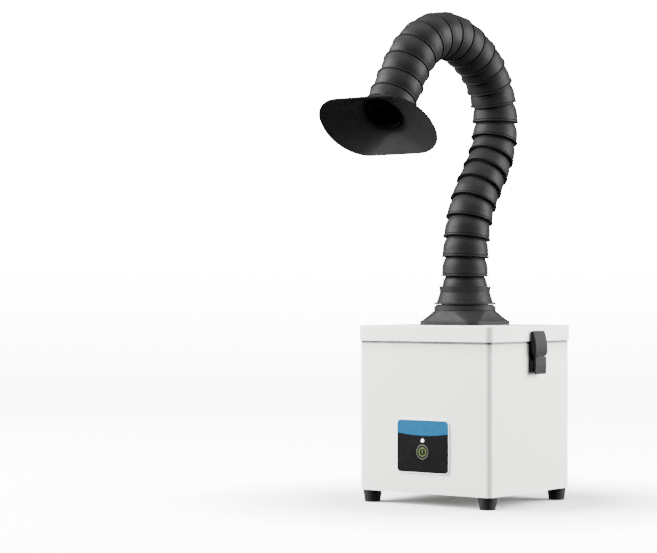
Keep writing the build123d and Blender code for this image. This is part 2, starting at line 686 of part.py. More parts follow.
def blower_housing():
    floor = BLOWER_BOTTOM + SCROLL_WALL
    housing = blower_space(SCROLL_WALL, BLOWER_BOTTOM, BLOWER_TOP)
    housing -= blower_space(0.0, floor, BLOWER_TOP + 1)
    housing -= rod(2 * SHAFT_RADIUS, BLOWER_BOTTOM - 1, floor + 1, 0, BLOWER_Y)
    for x, y in motor_screw_places():
        housing -= rod(M3_RADIUS, BLOWER_BOTTOM - 1, floor + 1, x, y)
    return housing


def blower_cover():
    """Cover plate with a raised inlet ring that reaches the shelf."""
    cover = blower_space(SCROLL_WALL, BLOWER_TOP, BLOWER_TOP + SHEET)
    cover += rod(INLET_RADIUS + SHEET, BLOWER_TOP, SHELF_Z, 0, BLOWER_Y)
    return cover - rod(INLET_RADIUS, BLOWER_TOP - 1, SHELF_Z + 1, 0, BLOWER_Y)


def impeller():
    """Forward-curved fan wheel: back plate, hub, blades and a top ring."""
    wheel = rod(IMPELLER_RADIUS, IMPELLER_BOTTOM, IMPELLER_BOTTOM + 2)
    wheel += rod(HUB_RADIUS, IMPELLER_BOTTOM, IMPELLER_BOTTOM + HUB_HEIGHT)
    ring = rod(IMPELLER_RADIUS, IMPELLER_TOP - 2, IMPELLER_TOP)
    wheel += ring - rod(IMPELLER_RADIUS - 5, IMPELLER_TOP - 3, IMPELLER_TOP + 1)
    height = IMPELLER_TOP - IMPELLER_BOTTOM - 2
    middle = IMPELLER_RADIUS - BLADE_LENGTH / 2 - 1
    blade = Pos(middle, 0, IMPELLER_BOTTOM + 1 + height / 2) * Rot(0, 0, BLADE_ANGLE)
    blade = blade * Box(BLADE_LENGTH, BLADE_THICKNESS, height)
    blades = [Rot(0, 0, 360 * i / BLADE_COUNT) * blade for i in range(BLADE_COUNT)]
    wheel = wheel + blades
    wheel -= rod(SHAFT_RADIUS, IMPELLER_BOTTOM - 1, IMPELLER_TOP)
    return Pos(0, BLOWER_Y, 0) * wheel


def motor_screw_places():
    angles = [radians(90 + 120 * i) for i in range(3)]
    return [(MOTOR_SCREW_CIRCLE * cos(a), BLOWER_Y + MOTOR_SCREW_CIRCLE * sin(a)) for a in angles]


def fan_motor():
    case = rod(MOTOR_RADIUS, MOTOR_BOTTOM, BLOWER_BOTTOM, 0, BLOWER_Y)
    case = fillet(case.faces().sort_by(Axis.Z)[0].edges(), 2)
    case -= rod(SHAFT_RADIUS + FIT, MOTOR_BOTTOM + 8, BLOWER_BOTTOM + 1, 0, BLOWER_Y)
    for x, y in motor_screw_places():
        case -= rod(M3_RADIUS, BLOWER_BOTTOM - 6, BLOWER_BOTTOM + 1, x, y)
    return case


def motor_shaft():
    return rod(SHAFT_RADIUS, MOTOR_BOTTOM + 8 + SLIP, IMPELLER_BOTTOM + 20, 0, BLOWER_Y)


def m3_screws():
    """Motor screws from inside the blower and grille screws from behind."""
    screws = []
    floor = BLOWER_BOTTOM + SCROLL_WALL
    for x, y in motor_screw_places():
        head = rod(M3_HEAD, floor, floor + 2, x, y)
        screws.append(head + rod(M3_RADIUS, floor - 6, floor + 1, x, y))
    for x, z in grille_holes():
        head = rod_y(M3_HEAD, REAR + SHEET, REAR + SHEET + 1.6, x, z)
        screws.append(head + rod_y(M3_RADIUS, REAR - SHEET, REAR + SHEET + 1, x, z))
    return screws


# ---------------------------------------------------------------- rear wall
def grille_holes():
    dx, dz = GRILLE_WIDTH / 2 - 3.2, GRILLE_HEIGHT / 2 - 3.2
    return [(GRILLE_X + sx * dx, GRILLE_Z + sz * dz) for sx in (-1, 1) for sz in (-1, 1)]


def exhaust_grille():
    grille = front_slab(GRILLE_WIDTH, GRILLE_HEIGHT, 4, GRILLE_X, GRILLE_Z, REAR, REAR + SHEET)
    width = GRILLE_WIDTH / 2 - GRILLE_EDGE - 1
    for i in range(GRILLE_SLOTS):
        z = GRILLE_Z + (i - (GRILLE_SLOTS - 1) / 2) * (GRILLE_SLOT + GRILLE_BAR)
        grille -= block((GRILLE_X - width, GRILLE_X + width), (REAR - 1, REAR + 5),
                        (z - GRILLE_SLOT / 2, z + GRILLE_SLOT / 2))
    for x, z in grille_holes():
        grille -= rod_y(M3_RADIUS, REAR - 1, REAR + 5, x, z)
    return grille


def power_inlet():
    """Panel socket with three blades in its cavity."""
    half_width, half_height = SOCKET_WIDTH / 2, SOCKET_HEIGHT / 2
    wide, high = half_width + SOCKET_WALL, half_height + SOCKET_WALL
    body = block((SOCKET_X - wide, SOCKET_X + wide), (REAR - SOCKET_DEPTH - 6, REAR + 0.1),
                 (SOCKET_Z - high, SOCKET_Z + high))
    body += front_slab(SOCKET_WIDTH + 14, SOCKET_HEIGHT + 9, 3, SOCKET_X, SOCKET_Z,
                       REAR, REAR + SHEET)
    body -= front_slab(SOCKET_WIDTH, SOCKET_HEIGHT, 2.5, SOCKET_X, SOCKET_Z,
                       REAR - SOCKET_DEPTH, REAR + 5)
    for dx, dz in ((-7, -2), (0, 2.5), (7, -2)):
        body += block((SOCKET_X + dx - 1, SOCKET_X + dx + 1), (REAR - SOCKET_DEPTH - 1, REAR - 5),
                      (SOCKET_Z + dz - 2.2, SOCKET_Z + dz + 2.2))
    return body


# ---------------------------------------------------------------- power supply
def psu_holes():
    return [(x, y) for x in (PSU_X[0] + 4, PSU_X[1] - 4) for y in (PSU_Y[0] + 4, PSU_Y[1] - 4)]


def power_supply():
    """Board with transformer, two capacitors and a heat sink."""
    top = PSU_Z + BOARD_THICKNESS
    board = block(PSU_X, PSU_Y, (PSU_Z, top))
    board += block((42, 66), (-20, 8), (top - 0.1, top + 22))
    for y in (-40, 26):
        board += rod(7, top - 0.1, top + 20, 56, y)
    board += block((36, 39), (-20, 20), (top - 0.1, top + 24))
    for x, y in psu_holes():
        board -= rod(M3_RADIUS, PSU_Z - 1, top + 1, x, y)
    return board


def board_standoffs():
    """Posts under the power supply and behind the control board."""
    posts = [rod(STANDOFF_RADIUS, FLOOR, PSU_Z, x, y) for x, y in psu_holes()]
    for x, z in board_holes():
        posts.append(rod_y(STANDOFF_RADIUS, FRONT + SHEET, BOARD_FRONT, x, z))
    return posts


# ---------------------------------------------------------------- write every node
save("cabinet_shell", cabinet_shell())
save("rubber_feet", *[foot(x, y) for x, y in foot_places()])
save("foot_screws", *[foot_screw(x, y) for x, y in foot_places()])
save("lid_cap", lid_cap())
save("lid_gasket", lid_gasket())
save("arm_flange", arm_flange())
save("flange_screws", *[flange_screw(x, y) for x, y in flange_screw_places()])
save("swivel_collar", swivel_collar())
save("swivel_retainer", swivel_retainer())

BELL = bell()
BALLS = ball_places()
for number, ball_place in enumerate(BALLS[:-1], start=1):
    save(f"arm_segment_{number:02d}", place_on_ball(BELL, ball_place))
save("suction_hood", place_on_ball(suction_hood(), BALLS[-1]))

save("panel_bezel", panel_bezel())
save("panel_overlay", panel_overlay())
save("power_button", power_button())
save("led_lens", led_lens())
save("control_board", control_board())
save("board_standoffs", *board_standoffs())

save("latch_bases", *both_sides(latch_base()))
save("latch_catches", *both_sides(latch_catch()))
for part, shape in (("hasp", latch_hasp()), ("lever", latch_lever())):
    for side_name, piece in zip(("right", "left"), both_sides(shape)):
        save(f"latch_{part}_{side_name}", piece)

save("filter_shelf", filter_shelf())
save("shelf_brackets", shelf_bracket(-1), shelf_bracket(1))
save("hepa_filter", framed_filter(FILTER_BASE, HEPA_HEIGHT, HEPA_RIBS))
save("carbon_filter", framed_filter(FILTER_BASE + HEPA_HEIGHT, CARBON_HEIGHT, CARBON_RIBS))
save("prefilter_pad", prefilter_pad())

save("blower_housing", blower_housing())
save("blower_cover", blower_cover())
save("impeller", impeller())
save("fan_motor", fan_motor())
save("motor_shaft", motor_shaft())
save("m3_screws", *m3_screws())
save("exhaust_grille", exhaust_grille())
save("power_inlet", power_inlet())
save("power_supply", power_supply())
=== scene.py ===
import json
import math

import bpy
from mathutils import Matrix, Vector


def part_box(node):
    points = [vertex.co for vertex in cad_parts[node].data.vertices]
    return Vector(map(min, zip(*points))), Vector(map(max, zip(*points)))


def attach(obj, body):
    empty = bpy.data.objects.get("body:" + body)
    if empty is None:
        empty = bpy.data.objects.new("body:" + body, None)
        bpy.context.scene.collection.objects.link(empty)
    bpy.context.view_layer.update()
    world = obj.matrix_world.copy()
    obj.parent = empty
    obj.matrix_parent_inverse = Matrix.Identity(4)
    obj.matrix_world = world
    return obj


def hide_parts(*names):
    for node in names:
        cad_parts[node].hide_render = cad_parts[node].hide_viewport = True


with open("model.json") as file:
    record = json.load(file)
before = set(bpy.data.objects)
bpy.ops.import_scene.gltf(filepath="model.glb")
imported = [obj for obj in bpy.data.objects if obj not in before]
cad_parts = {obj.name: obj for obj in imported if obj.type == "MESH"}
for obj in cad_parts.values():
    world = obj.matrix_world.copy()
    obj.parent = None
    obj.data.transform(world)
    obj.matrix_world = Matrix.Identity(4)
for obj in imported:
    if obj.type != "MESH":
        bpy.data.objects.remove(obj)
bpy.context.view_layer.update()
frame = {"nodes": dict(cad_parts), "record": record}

MM = 0.001
TURN_STEPS = 112               # points round a turned piece


# ---------------------------------------------------------------- mesh helpers
def make_piece(name, verts, faces, material, sharp=40.0):
    """A mesh object with smooth faces and sharp creases past an angle in degrees."""
    mesh = bpy.data.meshes.new(name)
    mesh.from_pydata([tuple(v) for v in verts], [], faces)
    mesh.validate()
    mesh.materials.append(material)
    obj = bpy.data.objects.new(name, mesh)
    bpy.context.scene.collection.objects.link(obj)
    shade(obj, sharp)
    return obj


def shade(obj, sharp=40.0):
    """Smooth shading with creases kept."""
    obj.data.polygons.foreach_set("use_smooth", [True] * len(obj.data.polygons))
    obj.data.set_sharp_from_angle(angle=math.radians(sharp))


def rounded_outline(points, steps=5):
    """Closed outline from (across, up, radius) corners, each turned into a small curve."""
    outline = []
    for i, (x, z, radius) in enumerate(points):
        here = Vector((x, z))
        if radius == 0:
            outline.append(here)
            continue
        before = Vector(points[i - 1][:2]) - here
        after = Vector(points[(i + 1) % len(points)][:2]) - here
        start = here + before.normalized() * min(radius, 0.48 * before.length)
        end = here + after.normalized() * min(radius, 0.48 * after.length)
        for k in range(steps + 1):
            t = k / steps
            outline.append((1 - t) ** 2 * start + 2 * t * (1 - t) * here + t**2 * end)
    return outline


def arc_points(radius, centre, low, high, steps):
    """Sharp corners along a circle about (0, centre) between two heights."""
    points = []
    first = math.asin((low - centre) / radius)
    last = math.asin((high - centre) / radius)
    for k in range(steps + 1):
        angle = first + (last - first) * k / steps
        points.append((radius * math.cos(angle), centre + radius * math.sin(angle), 0))
    return points


def box_ray(direction, half_x, half_y, corner):
    """Point where a ray from the middle leaves a rounded rectangle."""
    c, s = abs(direction[0]), abs(direction[1])
    flat_x, flat_y = half_x - corner, half_y - corner
    if c * half_y <= s * flat_x or (s > 0 and c * half_y / s <= flat_x):
        x, y = c * half_y / s, half_y
    elif s * half_x / c <= flat_y:
        x, y = half_x, s * half_x / c
    else:
        along = c * flat_x + s * flat_y
        off = flat_x**2 + flat_y**2 - corner**2
        reach = along + math.sqrt(max(along**2 - off, 0.0))
        x, y = c * reach, s * reach
    return math.copysign(x, direction[0]), math.copysign(y, direction[1])


def ring(half_x, half_y, corner, z, count):
    """Level ring of points round a rounded rectangle; a circle when corner is the half size."""
    points = []
    corner = min(corner, half_x, half_y)
    for k in range(count):
        angle = 2 * math.pi * (k + 0.5) / count
        x, y = box_ray((math.cos(angle), math.sin(angle)), half_x, half_y, corner)
        points.append(Vector((x, y, z)))
    return points


def loft_loop(rings, closed=True):
    """Quads between rings of equal count; closed joins the last ring to the first."""
    count = len(rings[0])
    verts = [p for one in rings for p in one]
    faces = []
    last = len(rings) if closed else len(rings) - 1
    for i in range(last):
        a = i * count
        b = ((i + 1) % len(rings)) * count
        for k in range(count):
            m = (k + 1) % count
            faces.append((a + k, a + m, b + m, b + k))
    return verts, faces


def revolved(outline, count=TURN_STEPS):
    """Rings of a closed outline turned about Z."""
    return [ring(p[0], p[0], p[0], p[1], count) for p in outline]


def moved(verts, matrix):
    """The points carried by a matrix."""
    return [matrix @ Vector(v) for v in verts]


# ---------------------------------------------------------------- material helper
class Recipe:
    """Short way to wire one node material in object coordinates."""

    def __init__(self, name, roughness=0.5, **uniform):
        self.material = bpy.data.materials.new(name)
        self.material.use_nodes = True
        self.tree = self.material.node_tree
        self.shader = self.tree.nodes["Principled BSDF"]
        self.shader.inputs["Roughness"].default_value = roughness
        for socket, value in uniform.items():
            self.shader.inputs[socket.replace("_", " ")].default_value = value
        self.place = self.add("ShaderNodeTexCoord").outputs["Object"]

    def add(self, kind, **settings):
        node = self.tree.nodes.new(kind)
        for key, value in settings.items():
            setattr(node, key, value)
        return node

    def join(self, source, target):
        self.tree.links.new(source, target)

    def math(self, operation, a, b=0.0, c=0.0):
        node = self.add("ShaderNodeMath", operation=operation)
        for socket, value in zip(node.inputs, (a, b, c)):
            if isinstance(value, (int, float)):
                socket.default_value = value
            else:
                self.join(value, socket)
        return node.outputs[0]

    def stretched(self, scale):
        node = self.add("ShaderNodeMapping")
        node.inputs["Scale"].default_value = scale
        self.join(self.place, node.inputs["Vector"])
        return node.outputs[0]

    def noise(self, scale, detail=3.0, rough=0.5, place=None):
        node = self.add("ShaderNodeTexNoise")
        node.inputs["Scale"].default_value = scale
        node.inputs["Detail"].default_value = detail
        node.inputs["Roughness"].default_value = rough
        self.join(place or self.place, node.inputs["Vector"])
        return node.outputs["Fac"]

    def cells(self, scale):
        node = self.add("ShaderNodeTexVoronoi")
        node.inputs["Scale"].default_value = scale
        self.join(self.place, node.inputs["Vector"])
        return node.outputs["Distance"]

    def span(self, value, low, high, to_low=0.0, to_high=1.0):
        node = self.add("ShaderNodeMapRange")
        for key, number in zip(("From Min", "From Max", "To Min", "To Max"),
                               (low, high, to_low, to_high)):
            node.inputs[key].default_value = number
        self.join(value, node.inputs["Value"])
        return node.outputs["Result"]

    def blend(self, factor, a, b):
        """Colour a where factor is 0, b where it is 1; each a colour or an output."""
        node = self.add("ShaderNodeMix", data_type="RGBA")
        self.join(factor, node.inputs["Factor"])
        for socket, value in (("A", a), ("B", b)):
            target = [s for s in node.inputs if s.name == socket and s.type == "RGBA"][0]
            if isinstance(value, (tuple, list)):
                target.default_value = (*value[:3], 1.0)
            else:
                self.join(value, target)
        return [s for s in node.outputs if s.type == "RGBA"][0]

    def axis(self, letter):
        node = self.add("ShaderNodeSeparateXYZ")
        self.join(self.place, node.inputs[0])
        return node.outputs[letter]

    def edges(self, low=0.5, high=0.6):
        """1 on raised edges of a dense mesh, 0 elsewhere."""
        node = self.add("ShaderNodeNewGeometry")
        return self.span(node.outputs["Pointiness"], low, high)

    def band(self, value, middle, half):
        """1 within half of the middle value, fading quickly to 0 outside."""
        away = self.math("ABSOLUTE", self.math("SUBTRACT", value, middle))
        return self.span(away, half * 0.75, half * 1.25, 1.0, 0.0)

    def apart(self, first, a, second, b):
        """Distance from the point (a, b) in the plane of two axes."""
        across = self.math("SUBTRACT", self.axis(first), a)
        along = self.math("SUBTRACT", self.axis(second), b)
        across = self.math("MULTIPLY", across, across)
        along = self.math("MULTIPLY", along, along)
        return self.math("SQRT", self.math("ADD", across, along))

    def colour(self, output):
        self.join(output, self.shader.inputs["Base Color"])

    def roughness(self, output):
        self.join(output, self.shader.inputs["Roughness"])

    def bump(self, height, distance, strength=1.0, after=None):
        node = self.add("ShaderNodeBump")
        node.inputs["Distance"].default_value = distance
        node.inputs["Strength"].default_value = strength
        self.join(height, node.inputs["Height"])
        if after is not None:
            self.join(after, node.inputs["Normal"])
        self.join(node.outputs["Normal"], self.shader.inputs["Normal"])
        return node.outputs["Normal"]


def shade_of(colour, factor):
    """The colour made darker or lighter."""
    return tuple(min(1.0, c * factor) for c in colour)


# ---------------------------------------------------------------- materials
SEAM_SHADE = 24 * MM           # how far the painted soft shade reaches below the lid's skirt
SEAM_LINE = 2.6 * MM           # full width of the painted dark shadow line right under the skirt
SEAM_FADE = 1.4 * MM
GRAIN = 2600                   # grain frequency of fine moulded plastic
GRAIN_DEPTH = 0.00004
WORN = 1.35                    # how much lighter a worn edge is


def powder_coat(name, colour, roughness=0.42, seam=None):
    """Baked powder paint: fine orange peel, faint clouding, rubbed marks and a painted shadow
    under the lid's skirt.
    """
    r = Recipe(name, IOR=1.5)
    peel = r.noise(1500, 2.0)
    wave = r.noise(240, 2.0)
    cloud = r.noise(9, 4.0, 0.6)
    rubbed = r.span(r.noise(55, 6.0, 0.7), 0.45, 0.75)
    tint = r.blend(r.span(cloud, 0.3, 0.7), shade_of(colour, 0.965), colour)
    speck = r.span(r.cells(900), 0.0, 0.25, 1.0, 0.0)
    paint = r.blend(r.math("MULTIPLY", speck, 0.05), tint, shade_of(colour, 0.72))
    if seam is not None:
        # Painted shadow under the lid's skirt: a soft shade and a dark line painted into the
        # colour, slightly uneven.
        soft = r.span(r.axis("Z"), seam - SEAM_SHADE, seam)
        soft = r.math("MULTIPLY", r.math("POWER", soft, 2.2), 0.5)
        line = seam - SEAM_LINE
        dark = r.math("MULTIPLY", r.span(r.axis("Z"), line - SEAM_FADE, line), 0.985)
        under = r.span(r.axis("Z"), seam - 0.2 * MM, seam + 0.2 * MM, 1.0, 0.0)
        painted_shadow = r.math("MULTIPLY", r.math("MAXIMUM", soft, dark), under)
        uneven = r.span(r.noise(90, 4.0), 0.3, 0.7, 0.88, 1.0)
        paint = r.blend(r.math("MULTIPLY", painted_shadow, uneven), paint, shade_of(colour, 0.035))
    r.colour(paint)
    r.roughness(r.span(rubbed, 0.0, 1.0, roughness, roughness + 0.12))
    first = r.bump(wave, 0.00010, 0.5)
    r.bump(peel, 0.00006, 0.7, first)
    return r.material


def moulded(name, colour, roughness=0.4, grain=GRAIN, depth=GRAIN_DEPTH, shine=0.2, throat_shade=None):
    """Moulded plastic or rubber: spark-eroded grain, clouding, scuffs and worn edges.

    The point and the two distances give where the painted shade in the throat's recess is full
    and where it is gone.
    """
    cloud = 0.16
    r = Recipe(name, IOR=1.48, Specular_IOR_Level=shine)
    tone = r.span(r.noise(28, 5.0, 0.65), 0.3, 0.7)
    base = r.blend(tone, shade_of(colour, 1 - cloud), shade_of(colour, 1 + cloud))
    scuffs = r.noise(240, 6.0, 0.75, r.stretched((1.0, 1.0, 0.12)))
    marks = r.span(scuffs, 0.62, 0.78)
    base = r.blend(r.math("MULTIPLY", marks, 0.22), base, shade_of(colour, 1.9))
    worn = r.math("MULTIPLY", r.edges(0.51, 0.60), 0.5)
    base = r.blend(worn, base, shade_of(colour, WORN))
    patches = r.span(r.noise(60, 5.0, 0.7), 0.3, 0.7, roughness - 0.05, roughness + 0.09)
    matt = r.math("ADD", patches, r.math("MULTIPLY", marks, 0.12))
    # Painted shade: near the throat the colour is painted near black, as the recess's shade, and
    # the surface made rougher.
    if throat_shade is not None:
        point, low, high = throat_shade
        near = r.add("ShaderNodeVectorMath", operation="DISTANCE")
        near.inputs[1].default_value = point
        r.join(r.place, near.inputs[0])
        shade_amount = r.span(near.outputs["Value"], low, high, 1.0, 0.0)
        base = r.blend(shade_amount, base, shade_of(colour, 0.10))
        matt = r.math("MAXIMUM", matt, r.math("MULTIPLY", shade_amount, 0.98))
    r.colour(base)
    r.roughness(matt)
    r.bump(r.noise(grain, 2.0), depth, 0.6)
    return r.material


def metal(name, colour, roughness=0.3, brushed=(1.0, 1.0, 0.02)):
    """Plated or machined steel with fine lines and slight staining."""
    r = Recipe(name, Metallic=1.0)
    lines = r.noise(1400, 3.0, 0.6, r.stretched(brushed))
    stain = r.span(r.noise(70, 4.0, 0.6), 0.35, 0.75)
    r.colour(r.blend(stain, colour, shade_of(colour, 0.7)))
    r.roughness(r.span(lines, 0.3, 0.7, roughness - 0.08, roughness + 0.14))
    r.bump(lines, 0.00004, 0.4)
    return r.material


HEADER_MIDDLE = 19.0 * MM       # depth of the blue header in the middle and at the sides
HEADER_SIDE = 16.2 * MM
LAMP_SURROUND = 3.4 * MM
PRINT_GRAIN = 1800
PRINT_DEPTH = 0.00002


def panel_print():
    """Printed overlay: blue header with a bowed lower edge over near-black."""
    low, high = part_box("panel_overlay")
    middle = (low.x + high.x) / 2
    half = (high.x - low.x) / 2
    lamp_low, lamp_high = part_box("led_lens")
    r = Recipe("panel_print", IOR=1.5, Specular_IOR_Level=0.05)
    across = r.math("DIVIDE", r.math("SUBTRACT", r.axis("X"), middle), half)
    bow = r.math("MULTIPLY", r.math("MULTIPLY", across, across), HEADER_MIDDLE - HEADER_SIDE)
    edge = r.math("ADD", bow, high.z - HEADER_MIDDLE)
    above = r.math("SUBTRACT", r.axis("Z"), edge)
    header = r.span(above, -0.15 * MM, 0.15 * MM)
    mottle = r.span(r.noise(160, 3.0), 0.3, 0.7)
    blue = r.blend(mottle, (0.008, 0.075, 0.17), (0.010, 0.083, 0.19))
    black = r.blend(mottle, (0.0042, 0.0042, 0.0042), (0.0055, 0.0055, 0.0054))
    lamp = r.apart("X", middle, "Z", (lamp_low.z + lamp_high.z) / 2)
    surround = r.span(lamp, LAMP_SURROUND, LAMP_SURROUND + 0.5 * MM, 1.0, 0.0)
    face = r.blend(header, black, blue)
    r.colour(r.blend(surround, face, (0.0016, 0.0016, 0.0017)))
    smears = r.span(r.noise(45, 6.0, 0.7), 0.35, 0.75, 0.32, 0.42)
    r.roughness(smears)
    r.bump(r.noise(PRINT_GRAIN, 2.0), PRINT_DEPTH, 0.5)
    return r.material


OUTER_RING = 8.6 * MM
INNER_RING = 5.1 * MM
RING_GREEN = (0.120, 0.150, 0.050)


def button_print():
    """Dark cap with two printed rings and a short bar."""
    low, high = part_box("power_button")
    x, z = (low.x + high.x) / 2, (low.z + high.z) / 2
    r = Recipe("button_plastic", IOR=1.5, Specular_IOR_Level=0.08)
    out = r.apart("X", x, "Z", z)
    worn = r.span(r.noise(700, 4.0, 0.7), 0.3, 0.62, 0.62, 1.0)
    grain = r.span(r.noise(160, 3.0), 0.3, 0.7)
    base = r.blend(grain, (0.0042, 0.0048, 0.0042), (0.0055, 0.0062, 0.0054))
    core = r.span(out, INNER_RING - 0.5 * MM, INNER_RING + 0.1 * MM, 1.0, 0.0)
    base = r.blend(core, base, (0.0035, 0.0072, 0.0030))
    outer = r.math("MULTIPLY", r.band(out, OUTER_RING, 0.7 * MM), worn)
    base = r.blend(outer, base, (0.075, 0.086, 0.060))
    inner = r.math("MULTIPLY", r.band(out, INNER_RING, 0.62 * MM), worn)
    base = r.blend(inner, base, RING_GREEN)
    tall = r.band(r.axis("Z"), z + 0.8 * MM, 2.6 * MM)
    bar = r.math("MULTIPLY", tall, r.band(r.axis("X"), x, 0.55 * MM))
    r.colour(r.blend(bar, base, RING_GREEN))
    r.roughness(r.span(grain, 0.0, 1.0, 0.34, 0.44))
    r.bump(r.noise(PRINT_GRAIN, 2.0), PRINT_DEPTH, 0.5)
    return r.material


def milky_lens():
    """White lamp, lit."""
    r = Recipe("led_lens", roughness=0.25, Emission_Strength=2.0)
    r.shader.inputs["Emission Color"].default_value = (0.95, 0.97, 1.0, 1.0)
    core = r.span(r.noise(1200, 2.0), 0.3, 0.7)
    r.colour(r.blend(core, (0.82, 0.85, 0.88), (0.95, 0.97, 1.0)))
    return r.material


def circuit_board():
    """Green board with raised tracks."""
    r = Recipe("circuit_board", roughness=0.35)
    tracks = r.span(r.cells(420), 0.25, 0.35)
    r.colour(r.blend(tracks, (0.02, 0.11, 0.05), (0.03, 0.19, 0.09)))
    r.bump(tracks, 0.00005, 0.4)
    return r.material


def fibre(name, colour, scale=900, depth=0.0006):
    """Felted or pleated filter medium."""
    r = Recipe(name, roughness=0.95)
    strands = r.noise(scale, 6.0, 0.75, r.stretched((1.0, 0.25, 1.0)))
    r.colour(r.blend(r.span(strands, 0.3, 0.7), shade_of(colour, 0.72), colour))
    r.bump(strands, depth, 0.7)
    return r.material


def granules():
    """Bed of carbon grains."""
    r = Recipe("carbon_bed", roughness=0.6)
    grains = r.cells(420)
    r.colour(r.blend(r.span(grains, 0.0, 0.6), (0.05, 0.05, 0.052), (0.008, 0.008, 0.009)))
    r.bump(grains, 0.0012, 1.0)
    return r.material


def opening_middle(name):
    """Middle of one of the record's openings."""
    for opening in frame["record"]["physics"]["openings"]:
        if opening["name"] == name:
            low, high = (Vector(c) for c in opening["box_m"])
            return (low + high) / 2
    raise ValueError(name)


THROAT = tuple(opening_middle("hood_throat"))
# Painted shade round the hood's throat: the point and the distances where it is full and gone,
# on the bells and on the hood.
BELL_THROAT_SHADE = (THROAT, 23 * MM, 27 * MM)
HOOD_THROAT_SHADE = (THROAT, 25 * MM, 34 * MM)
MATERIALS = {
    "painted_steel": powder_coat("painted_steel", (0.88, 0.885, 0.83), 0.42,
                                 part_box("lid_cap")[0].z),
    "white_trim": powder_coat("white_trim", (0.86, 0.87, 0.87), 0.35),
    "black_rubber": moulded("black_rubber", (0.011, 0.011, 0.0114), 0.62, 1600, 0.00008),
    "zinc_steel": metal("zinc_steel", (0.60, 0.61, 0.63), 0.34),
    "foam_seal": moulded("foam_seal", (0.03, 0.03, 0.031), 0.9, 900, 0.0003),
    "arm_plastic": moulded("arm_plastic", (0.0135, 0.0135, 0.0137), 0.42, shine=0.05,
                           throat_shade=BELL_THROAT_SHADE),
    "hood_plastic": moulded("hood_plastic", (0.018, 0.018, 0.0183), 0.5, shine=0.05,
                            throat_shade=HOOD_THROAT_SHADE),
    "panel_print": panel_print(),
    "button_plastic": button_print(),
    "led_lens": milky_lens(),
    "circuit_board": circuit_board(),
    "nylon": moulded("nylon", (0.62, 0.61, 0.56), 0.5),
    "latch_plastic": moulded("latch_plastic", (0.014, 0.014, 0.0137), 0.5, 2200, 0.00006, 0.07),
    "filter_paper": fibre("filter_paper", (0.80, 0.80, 0.76)),
    "carbon_bed": granules(),
    "filter_wool": fibre("filter_wool", (0.74, 0.76, 0.75), 500, 0.0012),
    "blower_plastic": moulded("blower_plastic", (0.03, 0.03, 0.032), 0.45),
    "motor_steel": metal("motor_steel", (0.42, 0.42, 0.44), 0.28, (0.02, 1.0, 1.0)),
    "black_metal": powder_coat("black_metal", (0.022, 0.022, 0.023), 0.5),
    "socket_plastic": moulded("socket_plastic", (0.014, 0.014, 0.015), 0.34),
}
SLOT_OF = {row["node"]: row["material_slot"] for row in frame["record"]["subparts"]}
BODY_OF = {node: body for body, nodes in frame["record"]["behaviour"]["bodies"].items()
           for node in nodes}
CREASE = 28.0                  # degrees
BEVEL_CREASE = math.radians(38)
BEVELLED = {"latch_plastic": 0.35 * MM, "arm_plastic": 0.3 * MM, "black_rubber": 0.5 * MM}


def dress_cad_nodes():
    """Give every CAD node its material, clean shading and, where it is moulded, soft edges."""
    for name, obj in frame["nodes"].items():
        obj.data.materials.clear()
        obj.data.materials.append(MATERIALS[SLOT_OF[name]])
        shade(obj, CREASE)
        if SLOT_OF[name] in BEVELLED:
            bevel = obj.modifiers.new("worn_edges", "BEVEL")
            bevel.width = BEVELLED[SLOT_OF[name]]
            bevel.segments = 2
            bevel.limit_method = "ANGLE"
            bevel.angle_limit = BEVEL_CREASE
            bevel.harden_normals = True


def stand_in(piece, node):
    """The piece shows instead of a CAD node, on its body."""
    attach(piece, BODY_OF[node])
    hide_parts(node)


# ---------------------------------------------------------------- arm
BELL_PITCH = 24.4 * MM
DOME_RADIUS = 29.3 * MM
DOME_CENTRE = 9.0 * MM
DOME_MOUTH = 20.0 * MM
DOME_WALL = 2.2 * MM
LIP_RADIUS = 30.8 * MM
SEAT_RADIUS = 29.36 * MM
SEAT_TOP = 3.0 * MM
LIP_DROP = BELL_PITCH - DOME_CENTRE
ROUND = 0.45 * MM
COLLAR_RADIUS = 39.7 * MM
COLLAR_SPIGOT = 30.7 * MM
COLLAR_BORE = 28.3 * MM
COLLAR_RING = 26.5 * MM        # heights above the lid
COLLAR_RING_TOP = 29.0 * MM
COLLAR_CONE_TOP = 41.4 * MM
COLLAR_BAND_TOP = 49.7 * MM


def seat_outline():
    """Seat, lip, groove and the body's lower edge, shared by bells and hood."""
    def seat(height):
        return math.sqrt(SEAT_RADIUS**2 - (height + LIP_DROP) ** 2)

    return [
        (seat(SEAT_TOP), SEAT_TOP, 0.3 * MM),
        (seat(1.5 * MM), 1.5 * MM, 0),
        (seat(0.0), 0.0, 0.3 * MM),
        (LIP_RADIUS, 0.0, ROUND),
        (LIP_RADIUS, 1.6 * MM, ROUND),
        (LIP_RADIUS - 1.8 * MM, 1.9 * MM, 0.2 * MM),
        (LIP_RADIUS - 1.8 * MM, 2.6 * MM, 0.2 * MM),
        (LIP_RADIUS - 1.1 * MM, 3.0 * MM, 0.5 * MM),
    ]


def dome_outline(centre, low):
    """Outer skin of a dome from a height up to its mouth, and the inner skin back down."""
    inner = DOME_RADIUS - DOME_WALL
    top = centre + math.sqrt(DOME_RADIUS**2 - DOME_MOUTH**2)
    inner_top = centre + math.sqrt(inner**2 - DOME_MOUTH**2)
    outside = arc_points(DOME_RADIUS, centre, low, top, 14)
    return outside + arc_points(inner, centre, inner_top, centre, 8)


def bell_outline():
    """A whole bell: seat, lip, groove and dome."""
    inner = DOME_RADIUS - DOME_WALL
    dome = dome_outline(DOME_CENTRE, DOME_CENTRE)
    return rounded_outline(seat_outline() + dome + [(inner, SEAT_TOP, 0)])


